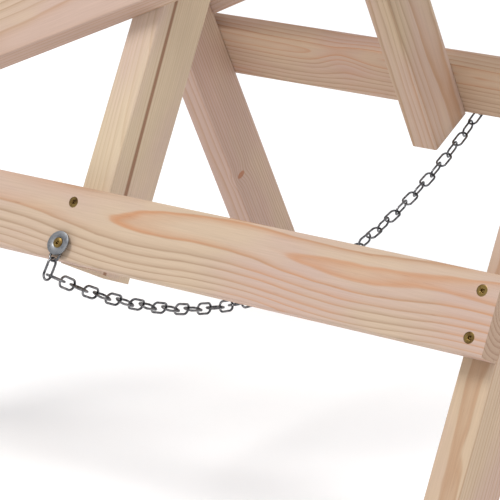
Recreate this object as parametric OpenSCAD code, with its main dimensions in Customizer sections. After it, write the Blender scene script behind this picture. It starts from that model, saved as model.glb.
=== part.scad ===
// Folding wooden sawbuck: two leaning board frames, crossed and bolted at three leg pairs,
// with a slack spreader chain between their rails.
// Millimetres, +Z up. Origin on the ground under the middle of the open trestle.
// X runs along the rails and the pivot axis; the near frame stands on the -Y side.

/* [Boards] */
// Width of a leg along the pivot axis
leg_w = 28; // [24:1:45]
// Depth of a leg across its lean
leg_d = 57; // [48:1:80]
// Width of a rail or brace board
rail_w = 60; // [50:1:80]
// Thickness of a rail or brace board
rail_t = 22; // [16:1:32]
// Easing radius on the long edges of every board
edge_r = 1.6; // [0.8:0.2:4]

/* [Stance] */
// Lean of each frame from upright, in degrees
lean = 27.5; // [24:0.5:31]
// Height of the pivot axis above the ground
pivot_h = 727; // [660:1:820]
// Length of the cradle arms above the pivot axis
arm_len = 300; // [200:5:400]
// Distance down the leg from the pivot axis to a rail's lower edge
rail_drop = 586; // [520:1:620]
// How far the short middle legs pass their rail's lower edge
short_past = 0.5; // [0:0.5:8]
// Distance between the left and middle leg centres
left_span = 280; // [220:5:380]
// Distance between the middle and right leg centres
right_span = 380; // [300:5:480]
// Gap between two crossed legs, which holds a spacer washer
leg_gap = 1.9; // [1.5:0.1:4]

/* [Braces] */
// Rise of each diagonal brace, in degrees
brace_angle = 26.5; // [20:0.5:28]
// Gap between the rail's upper edge and the brace's lower corner
brace_gap = 3; // [1:0.5:20]

/* [Wood screws] */
// Shank radius of every wood screw
screw_r = 2.25; // [1.8:0.05:3]
// Head radius of every wood screw
screw_head_r = 4.4; // [3.6:0.1:6]
// Length of a rail or brace screw
screw_len = 45; // [30:1:50]
// Depth of a screw head below the board's face
screw_sink = 0.4; // [0:0.1:1]
// Height of the lower screw above a rail's lower edge
screw_low = 12; // [10:0.5:18]
// Height of the upper screw above a rail's lower edge
screw_high = 46.5; // [36:0.5:50]
// Half distance between the two brace screws on one leg
brace_screw_half = 14; // [8:0.5:20]
// Radial clearance of a screw in its hole
screw_fit = 0.05; // [0.02:0.01:0.2]

/* [Pivot bolts] */
// Radius of a pivot bolt
bolt_r = 4; // [3:0.5:6]
// Running clearance of the bolt in a leg's bore
bolt_fit = 0.08; // [0.02:0.01:0.1]
// Radius of the mushroom head
bolt_head_r = 10; // [8:0.5:14]
// Height of the mushroom head
bolt_head_h = 4.5; // [3:0.5:7]
// Length of bolt left beyond the nut
bolt_tail = 3; // [1:0.5:8]
// Height of the lock nut
nut_h = 8; // [6:0.5:12]
// Width of the lock nut across its corners
nut_w = 15; // [12:0.5:22]
// Radius of the pivot washers
pivot_washer_r = 10.5; // [9:0.5:15]
// Thickness of the outer pivot washer
pivot_washer_t = 1.6; // [1:0.1:3]
// Gap left beside a pivot washer so that the joint turns
pivot_play = 0.2; // [0.1:0.05:0.4]

/* [Chain] */
// Wire diameter of a link
wire_d = 2; // [1.6:0.1:2.6]
// Inside length of a link
link_in = 16.2; // [14:0.1:20]
// Inside width of a link
link_gap = 7; // [6:0.1:9]
// Least end play between two linked links
link_play = 0.25; // [0.15:0.05:0.4]
// Depth of the chain's lowest point under the rails' lower edges
chain_sag = 106; // [90:1:150]
// Height of the near chain screw above its rail's lower edge
near_chain_up = 12; // [11:0.5:18]
// Height of the far chain screw above its rail's lower edge
far_chain_up = 8.5; // [7:0.5:9]
// Gap between the far chain and the side of the far middle leg
far_chain_gap = 6.5; // [6:0.5:15]
// Radius of a chain washer
washer_r = 10; // [8:0.5:12]
// Thickness of a chain washer
washer_t = 1.5; // [1:0.1:2.5]
// Tilt of a chain washer over its link, in degrees
washer_tilt = 8; // [6:0.5:10]
// Distance of a chain washer's underside from the rail, at its centre
washer_off = 3.2; // [3:0.1:5]
// Length of the near chain screw, which reaches into the leg
near_chain_screw_len = 50; // [40:1:60]
// Length of the far chain screw, which ends in the rail
far_chain_screw_len = 22; // [16:1:24]
// Most that a link is turned about the chain's own line, in degrees
chain_twist = 22; // [0:1:30]
// Links in the part of the near half that hangs when folded
near_upper_links = 13; // [9:2:15]
// Links in the part of the near half that lies on the ground when folded
near_lower_links = 10; // [7:1:13]
// Links in the part of the far half that hangs when folded
far_upper_links = 9; // [7:2:13]

/* [Hidden] */
$fn = 48;
slop = 1;
rail_len = left_span + right_span + leg_w;
pair_shift = leg_w + leg_gap;
bolt_end = pivot_washer_t + 2 * pivot_play + nut_h + bolt_tail;
near_x0 = (pair_shift + bolt_end - bolt_head_h - rail_len) / 2;
near_x1 = near_x0 + rail_len;
leg_x = [near_x0, near_x0 + left_span, near_x0 + left_span + right_span];
face_y = -leg_d / 2 - rail_t;
long_reach = pivot_h / cos(lean) + leg_d * tan(lean) + slop;
short_reach = rail_drop + short_past;
brace_v0 = -rail_drop + rail_w + brace_gap;
screw_head_h = screw_head_r - screw_r;
recess_w = 1;
recess_l = 4.6;
recess_depth = 1.7;
recess_turn = 20;
screw_tip_r = 0.3;
screw_rim = 0.3;
screw_bevel = 0.2;
head_seat = 0.1;
chain_head_crown = 0.6;
washer_bore_play = 0.5;
washer_dish_play = 0.15;
pivot_bore_play = 0.2;
nut_round = 0.6;
thread_fit = 0.02;
spacer_t = leg_gap - 2 * pivot_play;

// Chain geometry. Points are [y, z] in the plane of the chain.
wire_r = wire_d / 2;
link_r = (link_gap + wire_d) / 2;
link_half = (link_in + wire_d) / 2;
shank_play = 0.3;
hook = wire_d + link_play;
hang = lean + washer_tilt;
near_chain_x = leg_x[1] + leg_w / 2;
far_chain_x = leg_x[1] - leg_gap + far_chain_gap;
near_edge = near_point(face_y, -rail_drop);
low_z = near_edge[1] - chain_sag;

// A point given across and along the near frame, as world [y, z].
function near_point(across, along) = [
  across * cos(lean) + along * sin(lean),
  pivot_h - across * sin(lean) + along * cos(lean)
];
function heading(a) = [cos(a), sin(a)];

// The anchor link's lower wire centre for a screw at height up; y is that of the near side.
hang_dir = heading(-90 - hang);
washer_dir = heading(180 - hang);
function washer_point(up) = near_point(face_y - washer_off, up - rail_drop);
function anchor_centre(up) = washer_point(up) - (wire_r + link_play) * washer_dir
  + (link_in / 2 - screw_r - shank_play) * hang_dir;
function anchor_end(up) = anchor_centre(up) + link_half * hang_dir;

// The lead link hangs in line with the near anchor link.
lead_centre = anchor_end(near_chain_up) + (link_half - hook) * hang_dir;
lead_arc = lead_centre + (link_in - link_gap) / 2 * hang_dir;

// A first parabola between the outermost interlocks gives the rise of the chain's two ends.
far_end = [-anchor_end(far_chain_up)[0], anchor_end(far_chain_up)[1]];
drop_a = sqrt(lead_arc[1] - low_z);
drop_b = sqrt(far_end[1] - low_z);
steepness = 2 * (drop_a + drop_b) / (far_end[0] - lead_arc[0]);
start_dir = heading(-atan(steepness * drop_a));
end_slope = atan(steepness * drop_b);
end_dir = heading(end_slope);

// The end link runs inwards from the far anchor link.
end_centre = far_end + (hook - link_half) * end_dir;

// The rest of the chain follows a second parabola between these two links.
arc_a = lead_arc + (link_r - hook / 2) * start_dir;
arc_b = end_centre - (link_half - hook / 2) * end_dir;
root_a = sqrt(arc_a[1] - low_z);
root_b = sqrt(arc_b[1] - low_z);
root_k = (root_a + root_b) / (arc_b[0] - arc_a[0]);
curve_k = root_k * root_k;
low_y = arc_a[0] + root_a / root_k;
function slope_at(y) = 2 * curve_k * (y - low_y);
function run_at(y) = let(m = slope_at(y))
  (m * sqrt(1 + m * m) + ln(m + sqrt(1 + m * m))) / (4 * curve_k);
function solve_y(run, y, n) = n == 0 ? y
  : solve_y(run, y - (run_at(y) - run) / sqrt(1 + pow(slope_at(y), 2)), n - 1);
function curve_z(y) = low_z + curve_k * pow(y - low_y, 2);

// The chain is open between its two middle links, which lie end to end.
open_gap = 2.4;
open_extra = 2 * wire_d + open_gap + link_play;
arc_run = run_at(arc_b[0]) - run_at(arc_a[0]);
links = ceil((arc_run - open_extra) / (link_in - link_play));
pitch = (arc_run - open_extra) / links;
near_links = near_upper_links + near_lower_links;
function link_run(i) = run_at(arc_a[0]) + (i - 0.5) * pitch + (i > near_links ? open_extra : 0);
function link_y(i) = solve_y(link_run(i), arc_a[0] + (arc_b[0] - arc_a[0]) * i / links, 6);
function link_x(i) = near_chain_x + (far_chain_x - near_chain_x) * i / (links + 1);
function is_flat(i) = (i > near_links ? links - i : i - 1) % 2 == 0;

// Links alternate flat and upright, and the chain twists slowly one way and the other.
twist_waves = 1.5;
function link_turn(i) = (is_flat(i) ? 0 : 90) + chain_twist * sin(360 * twist_waves * i / links);

wood = [0.84, 0.73, 0.62];
zinc = [0.72, 0.73, 0.75];
yellow_zinc = [0.78, 0.66, 0.32];

// ---- placing ----

// Stands the near frame's own axes (x, across, up the leg from the pivot) in the world.
module in_near() {
  translate([0, 0, pivot_h]) rotate([-lean, 0, 0]) children();
}

// The far frame is the near one mirrored and moved along by one leg and the gap.
module in_far() {
  translate([-pair_shift, 0, 0]) mirror([0, 1, 0]) in_near() children();
}

// Puts a screw's top on a frame's outer face, pointing into the wood.
module on_face(x, up) {
  translate([x, face_y, up]) rotate([-90, 0, 0]) children();
}

// ---- boards ----

// Board section with eased edges, one corner at the origin.
module section(w, h) {
  translate([edge_r, 0]) square([w - 2 * edge_r, h]);
  translate([0, edge_r]) square([w, h - 2 * edge_r]);
  for (x = [edge_r, w - edge_r]) {
    for (y = [edge_r, h - edge_r]) {
      translate([x, y]) circle(edge_r);
    }
  }
}

module leg_board(x, reach) {
  translate([x, -leg_d / 2, -reach]) linear_extrude(reach + arm_len) section(leg_w, leg_d);
}

module rail_board(length) {
  rotate([90, 0, 90]) linear_extrude(length) section(rail_t, rail_w);
}

module pivot_bore(x) {
  translate([x - slop, 0, 0]) rotate([0, 90, 0]) cylinder(h = leg_w + 2 * slop, r = bolt_r + bolt_fit);
}

// Leg i of a frame in the frame's own axes; the outer legs run on to the ground.
module leg(i, reach, chain) {
  difference() {
    leg_board(leg_x[i], reach);
    pivot_bore(leg_x[i]);
    rail_screws_at(i, screw_fit, chain);
    brace_screws_at(i, screw_fit);
    if (chain && i == 1) {
      on_face(near_chain_x, near_chain_up - rail_drop)
        chain_screw_shape(near_chain_screw_len, screw_fit);
    }
  }
}

module ground_cut() {
  difference() {
    children();
    translate([-rail_len, -pivot_h, -pivot_h]) cube([2 * rail_len, 2 * pivot_h, pivot_h]);
  }
}

module rail(chain) {
  difference() {
    translate([near_x0, face_y, -rail_drop]) rail_board(rail_len);
    for (i = [0:2]) {
      rail_screws_at(i, screw_fit, chain);
    }
    if (chain) {
      on_face(near_chain_x, near_chain_up - rail_drop)
        chain_screw_shape(near_chain_screw_len, screw_fit);
    } else {
      on_face(far_chain_x + pair_shift, far_chain_up - rail_drop)
        chain_screw_shape(far_chain_screw_len, screw_fit);
    }
  }
}

module brace() {
  length = (rail_len + rail_w) / cos(brace_angle) + rail_w;
  difference() {
    intersection() {
      translate([near_x0, face_y, brace_v0]) rotate([0, -brace_angle, 0])
        translate([-rail_w, 0, 0]) rail_board(length);
      translate([near_x0, face_y - slop, -rail_drop])
        cube([rail_len, rail_t + 2 * slop, rail_drop + arm_len]);
    }
    for (i = [0:2]) {
      brace_screws_at(i, screw_fit);
    }
  }
}

// ---- screws ----

// A countersunk wood screw along +Z with its head sunk under z = 0, grown all round by fit.
module screw_shape(length, fit) {
  top = screw_sink - (fit > 0 ? screw_sink + slop : 0);
  rotate_extrude() polygon([
    [0, top], [screw_head_r + fit, top], [screw_head_r + fit, screw_sink + screw_rim],
    [screw_r + fit, screw_sink + screw_head_h + head_seat], [screw_r + fit, length - 2 * screw_r],
    [screw_tip_r + fit, length + fit], [0, length + fit]
  ]);
}

// The solid screw has a rim round its head and a cross recess.
module wood_screw(length) {
  difference() {
    rotate_extrude() polygon([
      [0, screw_sink], [screw_head_r - screw_bevel, screw_sink],
      [screw_head_r, screw_sink + screw_rim], [screw_r, screw_sink + screw_head_h + head_seat],
      [screw_r, length - 2 * screw_r], [screw_tip_r, length], [0, length]
    ]);
    cross_recess(screw_sink);
  }
}

module cross_recess(top) {
  for (a = [0, 90]) {
    rotate([0, 0, a + recess_turn]) translate([-recess_l / 2, -recess_w / 2, top - slop])
      cube([recess_l, recess_w, recess_depth + slop]);
  }
}

// The chain screw stands off the face, so only its shank enters the wood.
module chain_screw_shape(length, fit) {
  translate([0, 0, -washer_off - washer_t]) cylinder(h = length + fit, r = screw_r + fit);
}

module chain_screw(length) {
  translate([0, 0, -washer_off - washer_t]) difference() {
    rotate_extrude() polygon([
      [0, -chain_head_crown], [screw_head_r - 2 * screw_bevel, -chain_head_crown],
      [screw_head_r, 0], [screw_r, screw_head_h], [screw_r, length - 2 * screw_r],
      [screw_tip_r, length], [0, length]
    ]);
    cross_recess(-chain_head_crown);
  }
}

function brace_mid(x) = brace_v0 + (x - near_x0) * tan(brace_angle) + rail_w / 2 / cos(brace_angle);

module rail_screws_at(i, fit, chain) {
  heights = (chain && i == 1) ? [screw_high] : [screw_low, screw_high];
  for (up = heights) {
    on_face(leg_x[i] + leg_w / 2, up - rail_drop) {
      if (fit > 0) {
        screw_shape(screw_len, fit);
      } else {
        wood_screw(screw_len);
      }
    }
  }
}

module brace_screws_at(i, fit) {
  x = leg_x[i] + leg_w / 2;
  for (side = [-1, 1]) {
    on_face(x, brace_mid(x) + side * brace_screw_half) {
      if (fit > 0) {
        screw_shape(screw_len, fit);
      } else {
        wood_screw(screw_len);
      }
    }
  }
}

// ---- chain ----

// One link, long along Y, lying in the XY plane.
module link() {
  straight = link_in - link_gap;
  for (x = [-link_r, link_r]) {
    translate([x, -straight / 2, 0]) rotate([-90, 0, 0]) cylinder(h = straight, r = wire_r, $fn = 24);
  }
  for (end = [0, 180]) {
    rotate([0, 0, end]) translate([0, straight / 2, 0])
      rotate_extrude(angle = 180, $fn = 32) translate([link_r, 0]) circle(wire_r, $fn = 24);
  }
}

// Places a link by its centre [y, z], its rise and its turn, which is 0 flat and 90 on edge.
module place_link(x, centre, rise, turn) {
  translate([x, centre[0], centre[1]]) rotate([rise, 0, 0]) rotate([0, turn, 0]) link();
}

module chain_run(first, last) {
  for (i = [first:last]) {
    y = link_y(i);
    place_link(link_x(i), [y, curve_z(y)], atan(slope_at(y)), link_turn(i));
  }
}

// Washer in its screw's axes: it tilts so that its lower rim stands further out.
module chain_washer() {
  difference() {
    translate([0, 0, -washer_off]) rotate([-washer_tilt, 0, 0])
      translate([0, 0, -washer_t]) cylinder(h = washer_t, r = washer_r);
    translate([0, 0, -washer_off - washer_t]) {
      translate([0, 0, -slop])
        cylinder(h = washer_off + washer_t + 2 * slop, r = screw_r + washer_bore_play);
      rotate_extrude() polygon([
        [0, -washer_off], [screw_head_r + head_seat, -washer_off],
        [screw_head_r + head_seat, head_seat], [screw_r, screw_head_h + washer_dish_play],
        [0, screw_head_h + washer_dish_play]
      ]);
    }
  }
}

// ---- pivots ----

module pivot_bolt(x) {
  reach = leg_w + pair_shift + bolt_end;
  translate([x + leg_w, 0, pivot_h]) rotate([0, -90, 0]) {
    cylinder(h = reach, r = bolt_r);
    intersection() {
      dome_r = (pow(bolt_head_r, 2) + pow(bolt_head_h, 2)) / (2 * bolt_head_h);
      translate([0, 0, dome_r - bolt_head_h]) sphere(dome_r);
      translate([0, 0, -bolt_head_h]) cylinder(h = bolt_head_h, r = bolt_head_r + slop);
    }
  }
}

module pivot_ring(x, thickness, radius) {
  translate([x, 0, pivot_h]) rotate([0, 90, 0]) difference() {
    cylinder(h = thickness, r = radius);
    translate([0, 0, -slop]) cylinder(h = thickness + 2 * slop, r = bolt_r + pivot_bore_play);
  }
}

module pivot_nut(x) {
  translate([x, 0, pivot_h]) rotate([0, 90, 0]) difference() {
    intersection() {
      cylinder(h = nut_h, r = nut_w / 2, $fn = 6);
      translate([0, 0, nut_h / 2]) sphere(nut_w / 2 + nut_round);
    }
    translate([0, 0, -slop]) cylinder(h = nut_h + 2 * slop, r = bolt_r + thread_fit);
  }
}

// ---- nodes ----

module near_left_leg() { color(wood) ground_cut() in_near() leg(0, long_reach, true); }
module near_middle_leg() { color(wood) in_near() leg(1, short_reach, true); }
module near_right_leg() { color(wood) ground_cut() in_near() leg(2, long_reach, true); }
module near_rail() { color(wood) in_near() rail(true); }
module near_brace() { color(wood) in_near() brace(); }
module far_left_leg() { color(wood) ground_cut() in_far() leg(0, long_reach, false); }
module far_middle_leg() { color(wood) in_far() leg(1, short_reach, false); }
module far_right_leg() { color(wood) ground_cut() in_far() leg(2, long_reach, false); }
module far_rail() { color(wood) in_far() rail(false); }
module far_brace() { color(wood) in_far() brace(); }

module near_rail_screws() {
  color(yellow_zinc) in_near() for (i = [0:2]) rail_screws_at(i, 0, true);
}
module near_brace_screws() {
  color(yellow_zinc) in_near() for (i = [0:2]) brace_screws_at(i, 0);
}
module far_rail_screws() {
  color(yellow_zinc) in_far() for (i = [0:2]) rail_screws_at(i, 0, false);
}
module far_brace_screws() {
  color(yellow_zinc) in_far() for (i = [0:2]) brace_screws_at(i, 0);
}

module pivot_bolts() {
  color(zinc) for (x = leg_x) pivot_bolt(x);
}
module pivot_spacers() {
  color(zinc) for (x = leg_x) pivot_ring(x - leg_gap + pivot_play, spacer_t, pivot_washer_r);
}
module pivot_washers() {
  outer = pair_shift + pivot_play + pivot_washer_t;
  color(zinc) for (x = leg_x) pivot_ring(x - outer, pivot_washer_t, pivot_washer_r);
}
module pivot_nuts() {
  outer = pair_shift + 2 * pivot_play + pivot_washer_t + nut_h;
  color(zinc) for (x = leg_x) pivot_nut(x - outer);
}

module near_chain_screw() {
  color(yellow_zinc) in_near()
    on_face(near_chain_x, near_chain_up - rail_drop) chain_screw(near_chain_screw_len);
}
module near_chain_washer() {
  color(zinc) in_near() on_face(near_chain_x, near_chain_up - rail_drop) chain_washer();
}
module near_anchor_link() {
  color(zinc) place_link(near_chain_x, anchor_centre(near_chain_up), 90 - hang, 0);
}
module far_chain_screw() {
  color(yellow_zinc) in_far()
    on_face(far_chain_x + pair_shift, far_chain_up - rail_drop) chain_screw(far_chain_screw_len);
}
module far_chain_washer() {
  color(zinc) in_far() on_face(far_chain_x + pair_shift, far_chain_up - rail_drop) chain_washer();
}
module far_anchor_link() {
  color(zinc) mirror([0, 1, 0]) place_link(far_chain_x, anchor_centre(far_chain_up), 90 - hang, 0);
}

module chain_lead_link() {
  color(zinc) place_link(near_chain_x, lead_centre, 90 - hang, 90);
}
module chain_near_upper() { color(zinc) chain_run(1, near_upper_links); }
module chain_near_lower() { color(zinc) chain_run(near_upper_links + 1, near_links); }
module chain_far_lower() { color(zinc) chain_run(near_links + 1, links - far_upper_links); }
module chain_far_upper() {
  color(zinc) chain_run(links - far_upper_links + 1, links);
  color(zinc) place_link(far_chain_x, end_centre, end_slope, 90);
}

near_left_leg();
near_middle_leg();
near_right_leg();
near_rail();
near_brace();
far_left_leg();
far_middle_leg();
far_right_leg();
far_rail();
far_brace();
near_rail_screws();
near_brace_screws();
far_rail_screws();
far_brace_screws();
pivot_bolts();
pivot_spacers();
pivot_washers();
pivot_nuts();
near_chain_screw();
near_chain_washer();
near_anchor_link();
far_chain_screw();
far_chain_washer();
far_anchor_link();
chain_lead_link();
chain_near_upper();
chain_near_lower();
chain_far_lower();
chain_far_upper();
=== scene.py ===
import math

import bmesh
import bpy
from mathutils import Euler, Matrix, Quaternion, Vector


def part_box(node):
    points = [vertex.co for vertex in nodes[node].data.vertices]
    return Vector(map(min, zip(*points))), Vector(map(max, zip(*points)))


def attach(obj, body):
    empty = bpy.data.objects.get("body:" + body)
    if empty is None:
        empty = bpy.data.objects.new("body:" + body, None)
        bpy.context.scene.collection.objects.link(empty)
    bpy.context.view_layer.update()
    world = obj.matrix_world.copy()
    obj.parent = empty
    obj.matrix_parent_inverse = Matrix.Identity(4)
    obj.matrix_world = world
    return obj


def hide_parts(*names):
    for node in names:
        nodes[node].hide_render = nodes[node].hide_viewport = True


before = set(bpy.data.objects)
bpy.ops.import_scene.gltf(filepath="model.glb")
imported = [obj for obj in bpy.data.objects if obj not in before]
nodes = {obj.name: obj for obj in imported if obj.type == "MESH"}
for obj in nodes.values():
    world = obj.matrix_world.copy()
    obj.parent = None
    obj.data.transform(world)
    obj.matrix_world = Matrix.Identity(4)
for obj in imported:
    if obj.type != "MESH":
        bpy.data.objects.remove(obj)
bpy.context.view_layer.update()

scene = bpy.context.scene

# how the boards stand, in metres and radians
stand = {
    "lean": math.radians(27.5),
    "pivotHeight": 0.727,
    "braceRise": math.radians(26.5),
}


cameraSetup = {
    "place": (1.2957, -1.7862, 0.8473),
    "turn": 37.66,  # degrees round from looking along +Y
    "down": 17.19,
    "roll": -0.5,
    "lens": 190.0,
    "filmWidth": 36.0,
    "nearest": 0.05,
}


def addCamera(setup):
    data = bpy.data.cameras.new("camera")
    data.lens = setup["lens"]
    data.sensor_width = setup["filmWidth"]
    data.clip_start = setup["nearest"]
    camera = bpy.data.objects.new("camera", data)
    scene.collection.objects.link(camera)
    aim = Euler((math.radians(90 - setup["down"]), 0, math.radians(setup["turn"]))).to_quaternion()
    camera.rotation_mode = "QUATERNION"
    camera.rotation_quaternion = aim @ Quaternion((0, 0, 1), math.radians(setup["roll"]))
    camera.location = setup["place"]
    scene.camera = camera


studio = {
    "picture": "Standard",
    "floorSize": 16.0,
    "floorTone": (0.97, 0.97, 0.97),
    "floorGlow": 0.12,
    "floorRoughness": 0.8,
    "aim": (0, 0, 0.4),
    "sky": 0.70,
    "skyTone": (0.95, 0.97, 1.0),
    "keyPlace": (-0.9, -2.1, 3.9),
    "keySize": 1.7,
    "keyPower": 92.0,
    "keyTone": (1.0, 0.985, 0.955),
    "fillPlace": (2.1, -0.2, 3.1),
    "fillSize": 2.0,
    "fillPower": 36.0,
    "fillTone": (0.93, 0.95, 1.0),
}


def addLamp(name, place, target, size, power, warmth):
    data = bpy.data.lights.new(name, "AREA")
    data.shape = "DISK"
    data.size = size
    data.energy = power
    data.color = warmth
    lamp = bpy.data.objects.new(name, data)
    scene.collection.objects.link(lamp)
    lamp.location = place
    lamp.rotation_mode = "QUATERNION"
    lamp.rotation_quaternion = (Vector(target) - Vector(place)).to_track_quat("-Z", "Y")


def addStudio(setup):
    mesh = bmesh.new()
    bmesh.ops.create_grid(mesh, x_segments=8, y_segments=8, size=setup["floorSize"] / 2)
    data = bpy.data.meshes.new("studioFloor")
    mesh.to_mesh(data)
    mesh.free()
    floor = bpy.data.objects.new("studioFloor", data)
    scene.collection.objects.link(floor)
    paint = bpy.data.materials.new("paleFloor")
    paint.use_nodes = True
    shader = paint.node_tree.nodes["Principled BSDF"]
    shader.inputs["Base Color"].default_value = (*setup["floorTone"], 1)
    shader.inputs["Roughness"].default_value = setup["floorRoughness"]
    shader.inputs["Emission Color"].default_value = (1, 1, 1, 1)
    shader.inputs["Emission Strength"].default_value = setup["floorGlow"]
    data.materials.append(paint)
    world = bpy.data.worlds.new("softRoom")
    world.use_nodes = True
    world.node_tree.nodes["Background"].inputs["Color"].default_value = (*setup["skyTone"], 1)
    world.node_tree.nodes["Background"].inputs["Strength"].default_value = setup["sky"]
    scene.world = world
    scene.view_settings.view_transform = setup["picture"]
    aim = setup["aim"]
    addLamp("keyLamp", setup["keyPlace"], aim, setup["keySize"], setup["keyPower"], setup["keyTone"])
    addLamp("fillLamp", setup["fillPlace"], aim, setup["fillSize"], setup["fillPower"], setup["fillTone"])


addCamera(cameraSetup)
addStudio(studio)
print("camera, floor and lights are up")


def tone(red, green, blue):
    # a colour as a paint card gives it, 0 to 255, made linear
    linear = [((v / 255 + 0.055) / 1.055) ** 2.4 if v > 10 else v / 255 / 12.92 for v in (red, green, blue)]
    return (*linear, 1.0)


class Wiring:
    # adds nodes to one material and joins them up

    def __init__(self, name):
        self.material = bpy.data.materials.new(name)
        self.material.use_nodes = True
        self.tree = self.material.node_tree
        self.shader = self.tree.nodes["Principled BSDF"]
        self.count = 0

    def put(self, kind, **settings):
        node = self.tree.nodes.new(kind)
        node.location = (-2600 + 180 * (self.count % 14), 600 - 220 * (self.count // 14))
        self.count += 1
        for name, value in settings.items():
            setattr(node, name, value)
        return node

    def feed(self, socket, value):
        if isinstance(value, bpy.types.NodeSocket):
            self.tree.links.new(value, socket)
        else:
            socket.default_value = value

    def math(self, operation, *values, clamp=False):
        node = self.put("ShaderNodeMath", operation=operation, use_clamp=clamp)
        for socket, value in zip(node.inputs, values):
            self.feed(socket, value)
        return node.outputs[0]

    def vector(self, operation, *values):
        node = self.put("ShaderNodeVectorMath", operation=operation)
        for socket, value in zip(node.inputs, values):
            self.feed(socket, value)
        return node.outputs["Value" if operation in ("LENGTH", "DOT_PRODUCT", "DISTANCE") else "Vector"]

    def split(self, vector):
        node = self.put("ShaderNodeSeparateXYZ")
        self.feed(node.inputs[0], vector)
        return node.outputs[0], node.outputs[1], node.outputs[2]

    def join(self, x, y, z):
        node = self.put("ShaderNodeCombineXYZ")
        for socket, value in zip(node.inputs, (x, y, z)):
            self.feed(socket, value)
        return node.outputs[0]

    def noise(self, vector, scale, detail=2.0, roughness=0.5, output=0):
        node = self.put("ShaderNodeTexNoise")
        self.feed(node.inputs["Vector"], vector)
        node.inputs["Scale"].default_value = scale
        node.inputs["Detail"].default_value = detail
        node.inputs["Roughness"].default_value = roughness
        return node.outputs[output]

    def spread(self, value, low, high, newLow=0.0, newHigh=1.0, smooth=True):
        node = self.put("ShaderNodeMapRange", interpolation_type="SMOOTHSTEP" if smooth else "LINEAR")
        for socket, number in zip(node.inputs, (value, low, high, newLow, newHigh)):
            self.feed(socket, number)
        return node.outputs[0]

    def ramp(self, value, stops):
        node = self.put("ShaderNodeValToRGB")
        self.feed(node.inputs[0], value)
        marks = node.color_ramp.elements
        marks[0].position, marks[0].color = stops[0]
        marks[1].position, marks[1].color = stops[-1]
        for place, colour in stops[1:-1]:
            marks.new(place).color = colour
        return node.outputs[0]

    def blend(self, amount, first, second, kind="MIX"):
        node = self.put("ShaderNodeMix", data_type="RGBA", blend_type=kind, clamp_factor=True)
        self.feed(node.inputs[0], amount)
        self.feed(node.inputs[6], first)
        self.feed(node.inputs[7], second)
        return node.outputs[2]

    def bump(self, height, strength, distance):
        node = self.put("ShaderNodeBump")
        self.feed(node.inputs["Height"], height)
        node.inputs["Strength"].default_value = strength
        node.inputs["Distance"].default_value = distance
        self.tree.links.new(node.outputs[0], self.shader.inputs["Normal"])


# Every board's pattern lies in the board's own axes: x along the grain, y through, z across.
# The rings are those of a tree whose pith runs beside or inside the board.

pineLook = {
    "early": tone(193, 170, 146),
    "earlyPink": tone(188, 162, 148),
    "late": tone(160, 132, 106),
    "lateOrange": tone(186, 135, 98),
    "pith": tone(128, 86, 62),
    "endTone": tone(174, 146, 124),
    "fibre": 0.10,
    "ringHeight": 0.35,
    "roughness": 0.62,
    "specular": 0.32,
    "knotPale": tone(176, 112, 68),
    "knotDark": tone(146, 88, 52),
    "dryingCheck": tone(92, 62, 44),
    "planerPitch": 0.0065,
    "planerDepth": 0.04,
    "bumpStrength": 0.35,
    "bumpDistance": 0.0004,
}

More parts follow.
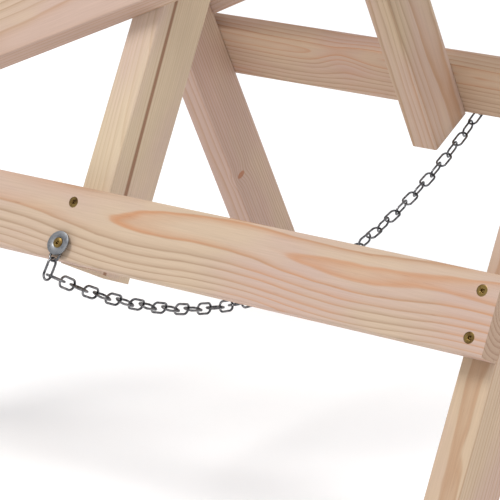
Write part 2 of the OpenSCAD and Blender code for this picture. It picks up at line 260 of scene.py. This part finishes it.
# pith is its place through and across the board from the middle, in metres; slope is how it runs off along it
boards = {
    "near_rail": {
        "along": "rail", "pith": (0.015, 0.016), "slope": (0.016, 0.006), "ring": 0.0043, "heart": 0.0,
        "wander": 0.013, "wave": (0.0024, 0.23, 0.3), "seed": 3.1, "orange": 1.0, "contrast": 1.0,
        "tint": (1.0, 1.0, 1.0),
    },
    "near_brace": {
        "along": "brace", "pith": (0.030, -0.020), "slope": (0.01, 0.006), "ring": 0.0040, "heart": 0.0,
        "wander": 0.008, "wave": (0.001, 0.3, 0.0), "seed": 9.4, "orange": 0.4, "contrast": 0.85,
        "tint": (1.0, 0.99, 0.98),
    },
    "near_left_leg": {
        "along": "leg", "pith": (0.060, 0.010), "slope": (0.004, 0.004), "ring": 0.0030, "heart": 0.0,
        "wander": 0.005, "wave": (0.0006, 0.4, 0.2), "seed": 14.0, "orange": 0.3, "contrast": 0.8,
        "tint": (1.05, 1.07, 1.05),
    },
    "near_middle_leg": {
        "along": "leg", "pith": (-0.0235, -0.0145), "slope": (0.042, 0.0), "ring": 0.0026,
        "heart": 0.0028, "wander": 0.0020, "wave": (0.0003, 0.5, 0.4), "seed": 21.7, "orange": 0.2,
        "contrast": 0.42, "tint": (1.12, 1.17, 1.14),
    },
    "near_right_leg": {
        "along": "leg", "pith": (0.045, -0.004), "slope": (0.005, 0.004), "ring": 0.0036, "heart": 0.0,
        "wander": 0.006, "wave": (0.0008, 0.4, 0.6), "seed": 28.3, "orange": 0.35, "contrast": 0.8,
        "tint": (1.0, 0.98, 0.94),
    },
    "far_rail": {
        "along": "rail", "pith": (-0.020, 0.018), "slope": (0.010, 0.010), "ring": 0.0055, "heart": 0.0,
        "wander": 0.010, "wave": (0.0022, 0.3, 0.1), "seed": 35.5, "orange": 0.9, "contrast": 1.0,
        "tint": (1.0, 0.95, 0.92),
    },
    "far_brace": {
        "along": "brace", "pith": (-0.024, 0.024), "slope": (0.008, 0.006), "ring": 0.0042,
        "heart": 0.0, "wander": 0.008, "wave": (0.001, 0.3, 0.7), "seed": 42.8, "orange": 0.4,
        "contrast": 0.9, "tint": (1.0, 1.0, 1.0),
    },
    "far_left_leg": {
        "along": "leg", "pith": (-0.100, 0.020), "slope": (0.006, 0.004), "ring": 0.0031, "heart": 0.0,
        "wander": 0.003, "wave": (0.0004, 0.4, 0.5), "seed": 49.9, "orange": 0.35, "contrast": 1.0,
        "tint": (1.0, 0.97, 0.97),
    },
    "far_middle_leg": {
        "along": "leg", "pith": (0.010, 0.030), "slope": (0.004, 0.002), "ring": 0.0044, "heart": 0.0,
        "wander": 0.004, "wave": (0.0006, 0.4, 0.8), "seed": 56.2, "orange": 0.45, "contrast": 0.95,
        "tint": (1.03, 1.03, 0.98),
    },
    "far_right_leg": {
        "along": "leg", "pith": (-0.050, -0.030), "slope": (0.005, 0.003), "ring": 0.0032, "heart": 0.0,
        "wander": 0.005, "wave": (0.0006, 0.4, 0.9), "seed": 63.6, "orange": 0.35, "contrast": 0.8,
        "tint": (1.0, 1.0, 1.0),
    },
}

# knots: place along, through and across each board's middle, and size, in metres
knots = {
    "far_left_leg": [(-0.43, -0.0228, -0.014, 0.0024)],
    "near_left_leg": [(0.18, -0.010, 0.014, 0.006)],
    "near_right_leg": [(0.22, 0.010, -0.014, 0.005)],
    "far_right_leg": [(-0.16, 0.004, -0.014, 0.006)],
    "far_rail": [(-0.17, 0.011, 0.008, 0.007)],
    "far_brace": [(0.10, 0.011, -0.010, 0.006)],
    "near_brace": [(0.16, -0.011, 0.012, 0.005)],
}


def boardTurn(name, along):
    # turns the row frame's axes into the board's own
    side = 1 if name.startswith("near") else -1
    swing = {"rail": 0.0, "leg": math.pi / 2, "brace": stand["braceRise"]}[along]
    return Euler((side * stand["lean"], swing, 0))


def pineBoard(name, look, board, knotList):
    w = Wiring(name + "Pine")
    turn = boardTurn(name, board["along"])
    low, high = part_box(name)
    middle = turn.to_matrix() @ ((low + high) / 2)
    coords = w.put("ShaderNodeTexCoord")
    place = w.put("ShaderNodeMapping", vector_type="POINT")
    w.feed(place.inputs["Vector"], coords.outputs["Object"])
    place.inputs["Rotation"].default_value = turn
    place.inputs["Location"].default_value = -middle
    spot = place.outputs[0]
    seeded = w.vector("ADD", spot, (board["seed"], board["seed"] * 0.7, board["seed"] * 1.3))
    along, through, across = w.split(spot)

    # the pith wanders slowly along the tree
    drift = w.noise(w.vector("MULTIPLY", seeded, (2.6, 7.0, 7.0)), 1.0, 2.0, 0.45, output=1)
    driftX, driftY = w.split(drift)[:2]
    waveHigh, waveLong, waveStart = board["wave"]
    wave = w.math("SINE", w.math("MULTIPLY_ADD", along, 2 * math.pi / waveLong, waveStart * 2 * math.pi))
    offThrough = w.math("MULTIPLY_ADD", along, board["slope"][0], through)
    offThrough = w.math("SUBTRACT", offThrough, board["pith"][0])
    offThrough = w.math("MULTIPLY_ADD", w.math("SUBTRACT", driftX, 0.5), board["wander"], offThrough)
    offAcross = w.math("MULTIPLY_ADD", along, board["slope"][1], across)
    offAcross = w.math("SUBTRACT", offAcross, board["pith"][1])
    offAcross = w.math("MULTIPLY_ADD", w.math("SUBTRACT", driftY, 0.5), board["wander"], offAcross)
    offAcross = w.math("MULTIPLY_ADD", wave, waveHigh, offAcross)
    radius = w.vector("LENGTH", w.join(0.0, offThrough, offAcross))
    ripple = w.noise(w.vector("MULTIPLY", seeded, (14.0, 60.0, 60.0)), 1.0, 2.0, 0.5)
    radius = w.math("MULTIPLY_ADD", w.math("SUBTRACT", ripple, 0.5), board["ring"] * 0.55, radius)

    # the grain flows round each knot
    knotMask = 0.0
    knotRing = 0.0
    for knotAlong, knotThrough, knotAcross, knotSize in knotList:
        gap = w.vector("SUBTRACT", spot, (knotAlong, knotThrough, knotAcross))
        gap = w.vector("MULTIPLY", gap, (0.62, 0.35, 1.0))
        away = w.vector("LENGTH", gap)
        away = w.math("MULTIPLY_ADD", w.math("SUBTRACT", ripple, 0.5), knotSize * 0.5, away)
        near = w.math("POWER", w.math("DIVIDE", away, knotSize * 2.4), 2.0)
        near = w.math("EXPONENT", w.math("MULTIPLY", near, -1.0))
        radius = w.math("MULTIPLY_ADD", near, knotSize * 1.5, radius)
        knotMask = w.math("MAXIMUM", knotMask, w.spread(away, knotSize, knotSize * 0.72))
        rings = w.math("SINE", w.math("MULTIPLY", away, 2 * math.pi / (knotSize * 0.22)))
        knotRing = w.math("ADD", knotRing, w.math("MULTIPLY", rings, near))

    # yearly rings: pale early wood that darkens into a narrow late band
    lazy = w.noise(w.join(w.math("MULTIPLY", radius, 130.0), board["seed"], 0.0), 1.0, 1.0, 0.5)
    ring = w.math("MULTIPLY_ADD", lazy, 1.1, w.math("DIVIDE", radius, board["ring"]))
    phase = w.math("FRACT", ring)
    year = w.put("ShaderNodeTexWhiteNoise", noise_dimensions="1D")
    w.feed(year.inputs["W"], w.math("FLOOR", ring))
    lateBand = w.ramp(phase, [
        (0.0, (0.12, 0.12, 0.12, 1)), (0.05, (0, 0, 0, 1)), (0.42, (0.05, 0.05, 0.05, 1)),
        (0.74, (0.42, 0.42, 0.42, 1)), (0.90, (1, 1, 1, 1)), (0.96, (0.75, 0.75, 0.75, 1)),
        (1.0, (0.12, 0.12, 0.12, 1)),
    ])
    yearly = w.spread(year.outputs[0], 0.0, 1.0, 0.55, 1.0, smooth=False)
    strength = w.math("MULTIPLY", yearly, board["contrast"])
    late = w.math("MULTIPLY", lateBand, strength)

    patch = w.noise(w.vector("MULTIPLY", seeded, (5.0, 14.0, 14.0)), 1.0, 3.0, 0.5)
    early = w.blend(w.spread(patch, 0.36, 0.58), look["early"], look["earlyPink"])
    flatSawn = w.spread(w.math("ABSOLUTE", offAcross), 0.020, 0.006)
    warmth = w.math("MULTIPLY", w.math("MAXIMUM", flatSawn, w.spread(patch, 0.42, 0.60)), board["orange"])
    lateTone = w.blend(warmth, look["late"], look["lateOrange"])
    colour = w.blend(late, early, lateTone)

    # the pith itself, a thin brown line where a face cuts it
    if board["heart"] > 0:
        heart = w.spread(radius, board["heart"], board["heart"] * 0.45)
        colour = w.blend(w.math("MULTIPLY", heart, 0.85), colour, look["pith"])

    # knots are darker, with tight rings of their own
    knotTone = w.blend(w.spread(knotRing, -1.0, 1.0), look["knotPale"], look["knotDark"])
    colour = w.blend(w.math("MULTIPLY", knotMask, 0.75), colour, knotTone)

    # fine fibres and resin canals
    fibre = w.noise(w.vector("MULTIPLY", seeded, (22.0, 900.0, 900.0)), 1.0, 3.0, 0.6)
    fibreShade = w.spread(fibre, 0.25, 0.75, 1.0 - look["fibre"], 1.0 + look["fibre"] * 0.4, smooth=False)
    colour = w.blend(1.0, colour, w.join(fibreShade, fibreShade, fibreShade), "MULTIPLY")
    canal = w.noise(w.vector("MULTIPLY", seeded, (70.0, 1500.0, 1500.0)), 1.0, 1.0, 0.4)
    canal = w.math("MULTIPLY", w.spread(canal, 0.70, 0.80), w.math("MULTIPLY", late, 0.4))
    colour = w.blend(canal, colour, look["pith"])

    # sawn ends: darker, with the rings as arcs and small drying checks
    facing = w.put("ShaderNodeMapping", vector_type="VECTOR")
    w.feed(facing.inputs["Vector"], coords.outputs["Normal"])
    facing.inputs["Rotation"].default_value = turn
    endMask = w.spread(w.math("ABSOLUTE", w.split(facing.outputs[0])[0]), 0.72, 0.95)
    bearing = w.math("ARCTAN2", offThrough, offAcross)
    checkSpot = w.join(w.math("MULTIPLY", bearing, 7.0), w.math("MULTIPLY", radius, 18.0), board["seed"])
    checks = w.noise(checkSpot, 1.0, 1.0, 0.3)
    checks = w.spread(checks, 0.74, 0.79)
    fuzz = w.noise(seeded, 1400.0, 3.0, 0.7)
    endTone = w.blend(w.math("MULTIPLY", late, 0.75), look["endTone"], look["pith"])
    endTone = w.blend(w.spread(fuzz, 0.3, 0.8, 0.0, 0.35), endTone, look["early"])
    endTone = w.blend(w.math("MULTIPLY", checks, 0.7), endTone, look["dryingCheck"])
    colour = w.blend(endMask, colour, endTone)
    w.feed(w.shader.inputs["Base Color"], w.blend(1.0, colour, (*board["tint"], 1.0), "MULTIPLY"))

    # planed faces: the late bands stand a hair proud and shine a little more
    height = w.math("MULTIPLY", late, look["ringHeight"])
    height = w.math("MULTIPLY_ADD", fibre, 0.65, height)
    height = w.math("MULTIPLY_ADD", w.math("MULTIPLY", fuzz, endMask), 1.2, height)
    height = w.math("MULTIPLY_ADD", w.math("MULTIPLY", checks, endMask), -1.5, height)
    chatter = w.math("SINE", w.math("MULTIPLY", along, 2 * math.pi / look["planerPitch"]))
    height = w.math("MULTIPLY_ADD", chatter, look["planerDepth"], height)
    w.bump(height, look["bumpStrength"], look["bumpDistance"])
    rough = w.math("MULTIPLY_ADD", late, -0.12, look["roughness"])
    rough = w.math("MULTIPLY_ADD", fibre, 0.12, rough)
    w.feed(w.shader.inputs["Roughness"], w.math("MULTIPLY_ADD", endMask, 0.15, rough))
    w.shader.inputs["Specular IOR Level"].default_value = look["specular"]
    return w.material


def dress(name, material):
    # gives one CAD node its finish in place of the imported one
    data = nodes[name].data
    data.materials.clear()
    data.materials.append(material)


for boardName, boardLook in boards.items():
    dress(boardName, pineBoard(boardName, pineLook, boardLook, knots.get(boardName, [])))
    print("pine on", boardName)


metalLooks = {
    "chainZinc": {
        "tone": tone(128, 128, 130), "shade": tone(66, 66, 70), "rough": (0.18, 0.36),
        "grain": 900.0, "pits": 0.3,
    },
    "washerZinc": {
        "tone": tone(142, 143, 146), "shade": tone(104, 105, 109), "rough": (0.30, 0.50),
        "grain": 500.0, "pits": 0.35,
    },
    "boltZinc": {
        "tone": tone(160, 161, 164), "shade": tone(112, 113, 118), "rough": (0.26, 0.46),
        "grain": 420.0, "pits": 0.3,
    },
    "yellowZinc": {
        "tone": tone(150, 124, 72), "shade": tone(84, 60, 34), "rough": (0.22, 0.42),
        "grain": 700.0, "pits": 0.35,
    },
}


def plated(name, look):
    w = Wiring(name)
    coords = w.put("ShaderNodeTexCoord")
    cloud = w.noise(coords.outputs["Object"], look["grain"] * 0.3, 3.0, 0.6)
    speck = w.noise(coords.outputs["Object"], look["grain"] * 4.0, 2.0, 0.6)
    dull = w.spread(cloud, 0.40, 0.68)
    colour = w.blend(dull, look["tone"], look["shade"])
    colour = w.blend(w.math("MULTIPLY", w.spread(speck, 0.62, 0.75), look["pits"]), colour, look["shade"])
    w.feed(w.shader.inputs["Base Color"], colour)
    w.shader.inputs["Metallic"].default_value = 1.0
    w.feed(w.shader.inputs["Roughness"], w.spread(cloud, 0.3, 0.7, look["rough"][0], look["rough"][1]))
    w.bump(w.math("MULTIPLY_ADD", cloud, 0.6, speck), 0.2, 0.00008)
    return w.material


metals = {name: plated(name, look) for name, look in metalLooks.items()}
finishes = {
    "yellowZinc": ["near_rail_screws", "near_brace_screws", "far_rail_screws", "far_brace_screws",
                   "near_chain_screw", "far_chain_screw"],
    "washerZinc": ["near_chain_washer", "far_chain_washer"],
    "boltZinc": ["pivot_bolts", "pivot_spacers", "pivot_washers", "pivot_nuts"],
    "chainZinc": ["near_anchor_link", "far_anchor_link", "chain_lead_link", "chain_near_upper",
                  "chain_near_lower", "chain_far_lower", "chain_far_upper"],
}
for metalName, nodeNames in finishes.items():
    for nodeName in nodeNames:
        dress(nodeName, metals[metalName])
    print(metalName, "on", len(nodeNames), "nodes")


# where the screws sit, in metres: legs along the rails, heights along the frame from the pivot axis
layout = {
    "legMiddles": (-0.3108, -0.0308, 0.3492),
    "facePlane": -0.0505,
    "railDrop": -0.586,
    "railScrews": (0.012, 0.0465),
    "braceFoot": -0.523,
    "braceWidth": 0.060,
    "braceScrews": (-0.014, 0.014),
    "railStart": -0.3248,
    "farShift": -0.0299,
}

screwShape = {
    "head": 0.0044,
    "shank": 0.00225,
    "sink": 0.0004,
    "rim": 0.0003,
    "length": 0.045,
    "crossHalf": 0.00042,
    "crossReach": 0.0021,
    "crossDeep": 0.0016,
    "turns": (0.35, 1.2, 2.0, 0.8, 2.6, 1.6),
    "segments": 72,
    "rings": 22,
    "faceShare": 0.93,
    "cornerShare": 0.985,
    "coneShare": 0.97,
    "pointFrom": 0.88,
    "pointTip": 0.96,
    "tickHalf": (0.00008, 0.0003),
    "tickReach": (0.0007, 0.0013),
    "tickDeep": 0.45,
}


def frameSpot(side, x, through, up):
    # a point in a frame's own axes, as a point in the row frame
    lean = stand["lean"]
    y = through * math.cos(lean) + up * math.sin(lean)
    z = stand["pivotHeight"] - through * math.sin(lean) + up * math.cos(lean)
    return Vector((x, y, z)) if side == "near" else Vector((x + layout["farShift"], -y, z))


def faceTurn(side):
    # turns +Z into the board, square to the outer face
    lean = stand["lean"]
    inward = Vector((0, math.cos(lean), -math.sin(lean)))
    if side == "far":
        inward.y *= -1
    return inward.to_track_quat("Z", "X").to_matrix().to_4x4()


def spunShape(mesh, profile, segments):
    # spins a chain of [radius, depth] points round the local Z axis
    points = [mesh.verts.new((radius, 0, depth)) for radius, depth in profile]
    edges = [mesh.edges.new(pair) for pair in zip(points, points[1:])]
    bmesh.ops.spin(mesh, geom=points + edges, cent=(0, 0, 0), axis=(0, 0, 1), angle=2 * math.pi,
                   steps=segments, use_merge=True, use_duplicate=False)
    bmesh.ops.remove_doubles(mesh, verts=mesh.verts, dist=1e-6)


def smoothRise(value, low, high):
    share = min(max((value - low) / (high - low), 0.0), 1.0)
    return share * share * (3 - 2 * share)


def addScrew(whole, place, length, crown, shape, turn):
    one = bmesh.new()
    head, shank, rim, rings = shape["head"], shape["shank"], shape["rim"], shape["rings"]
    face = head * shape["faceShare"]
    profile = [(face * i / rings, -crown * (1 - (i / rings) ** 2)) for i in range(rings + 1)]
    profile += [(head * shape["cornerShare"], rim * 0.25), (head, rim)]
    profile += [(head * shape["coneShare"], rim * 1.6)]
    profile += [(shank, rim + head - shank), (shank, length * shape["pointFrom"])]
    profile += [(shank * 0.5, length * shape["pointTip"]), (0, length)]
    spunShape(one, profile, shape["segments"])
    # the cross is pressed into the head's face, with a small tick between its arms
    for vert in one.verts:
        if vert.co.z < rim * 0.2:
            x, y = abs(vert.co.x), abs(vert.co.y)
            across, reach = min(x, y), max(x, y)
            arm = 1 - smoothRise(across, shape["crossHalf"] * 0.8, shape["crossHalf"] * 1.5)
            tip = 1 - smoothRise(reach, shape["crossReach"] * 0.35, shape["crossReach"])
            tick = 1 - smoothRise(abs(x - y), *shape["tickHalf"])
            tick *= 1 - smoothRise(reach, *shape["tickReach"])
            vert.co.z += shape["crossDeep"] * max(arm * tip, tick * shape["tickDeep"])
    bmesh.ops.rotate(one, verts=one.verts, cent=(0, 0, 0), matrix=Matrix.Rotation(turn, 3, "Z"))
    bmesh.ops.transform(one, matrix=place, verts=one.verts)
    bmesh.ops.recalc_face_normals(one, faces=one.faces)
    part = bpy.data.meshes.new("oneScrew")
    one.to_mesh(part)
    one.free()
    whole.from_mesh(part)
    bpy.data.meshes.remove(part)


creaseAngle = math.radians(38)


def finishPiece(name, mesh, metal, body, node):
    for face in mesh.faces:
        face.smooth = True
    data = bpy.data.meshes.new(name)
    mesh.to_mesh(data)
    mesh.free()
    data.materials.append(metals[metal])
    data.set_sharp_from_angle(angle=creaseAngle)
    piece = bpy.data.objects.new(name, data)
    scene.collection.objects.link(piece)
    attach(piece, body)
    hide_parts(node)


def braceMiddle(x):
    rise = stand["braceRise"]
    lowerEdge = layout["braceFoot"] + (x - layout["railStart"]) * math.tan(rise)
    return lowerEdge + layout["braceWidth"] / 2 / math.cos(rise)


for side in ("near", "far"):
    turned = faceTurn(side)
    for board in ("rail", "brace"):
        mesh = bmesh.new()
        count = 0
        for leg, x in enumerate(layout["legMiddles"]):
            if board == "rail":
                heights = [layout["railDrop"] + up for up in layout["railScrews"]]
                if side == "near" and leg == 1:
                    heights = heights[1:]
            else:
                heights = [braceMiddle(x) + up for up in layout["braceScrews"]]
            for up in heights:
                spot = frameSpot(side, x, layout["facePlane"] + screwShape["sink"], up)
                turn = screwShape["turns"][count % len(screwShape["turns"])]
                addScrew(mesh, Matrix.Translation(spot) @ turned, screwShape["length"], 0.0, screwShape, turn)
                count += 1
        name = side + board.capitalize() + "Screws"
        finishPiece(name, mesh, "yellowZinc", side + "_frame", side + "_" + board + "_screws")
        print(name, count)

# the washer leans on its anchor link, so its lower edge stands further off the rail
washerShape = {
    "radius": 0.010,
    "bore": 0.00275,
    "thick": 0.0015,
    "edge": 0.0004,
    "seat": 0.00455,
    "off": 0.0032,
    "tilt": math.radians(8),
    "segments": 96,
    "roundShare": 0.3,
    "dishShare": 0.72,
    "dishDepth": 0.00012,
    "lipWidth": 0.0003,
    "lipDepth": 0.0001,
    "seatDepth": 0.0002,
    "boreDepth": 0.0014,
    "screwCrown": 0.0006,
}
chainAnchors = {
    "near": {"x": -0.0308, "up": 0.012, "length": 0.050, "turn": 0.5},
    "far": {"x": -0.0103, "up": 0.0085, "length": 0.022, "turn": 1.9},
}


def washerProfile(washer):
    # from the bore's back edge round the rim and over the front face to the bore again
    bore, radius, thick, edge = washer["bore"], washer["radius"], washer["thick"], washer["edge"]
    corner = edge * washer["roundShare"]
    return [
        (bore, thick), (radius - edge, thick), (radius - corner, thick - corner), (radius, thick - edge),
        (radius, edge), (radius - corner, corner), (radius - edge, 0),
        (radius * washer["dishShare"], washer["dishDepth"]),
        (washer["seat"] + washer["lipWidth"], washer["lipDepth"]), (washer["seat"], washer["seatDepth"]),
        (bore, washer["boreDepth"]), (bore, thick),
    ]


for side, anchor in chainAnchors.items():
    washer = washerShape
    spot = frameSpot(side, anchor["x"], layout["facePlane"], layout["railDrop"] + anchor["up"])
    square = Matrix.Translation(spot) @ faceTurn(side)
    mesh = bmesh.new()
    spunShape(mesh, washerProfile(washer), washer["segments"])
    bmesh.ops.transform(mesh, matrix=Matrix.Translation((0, 0, -washer["thick"])), verts=mesh.verts)
    inner = square @ Matrix.Translation((0, 0, -washer["off"]))
    tiltAxis = (inner.inverted().to_3x3() @ Vector((1, 0, 0))).normalized()
    lowerOut = -1 if side == "near" else 1
    inner = inner @ Matrix.Rotation(lowerOut * washer["tilt"], 4, tiltAxis)
    bmesh.ops.transform(mesh, matrix=inner, verts=mesh.verts)
    bmesh.ops.recalc_face_normals(mesh, faces=mesh.faces)
    frameBody = side + "_frame"
    finishPiece(side + "ChainWasher", mesh, "washerZinc", frameBody, side + "_chain_washer")
    mesh = bmesh.new()
    lifted = square @ Matrix.Translation((0, 0, -washer["off"] - washer["thick"]))
    addScrew(mesh, lifted, anchor["length"], washer["screwCrown"], screwShape, anchor["turn"])
    finishPiece(side + "ChainScrew", mesh, "yellowZinc", frameBody, side + "_chain_screw")
    print("chain washer and screw on the", side, "rail")
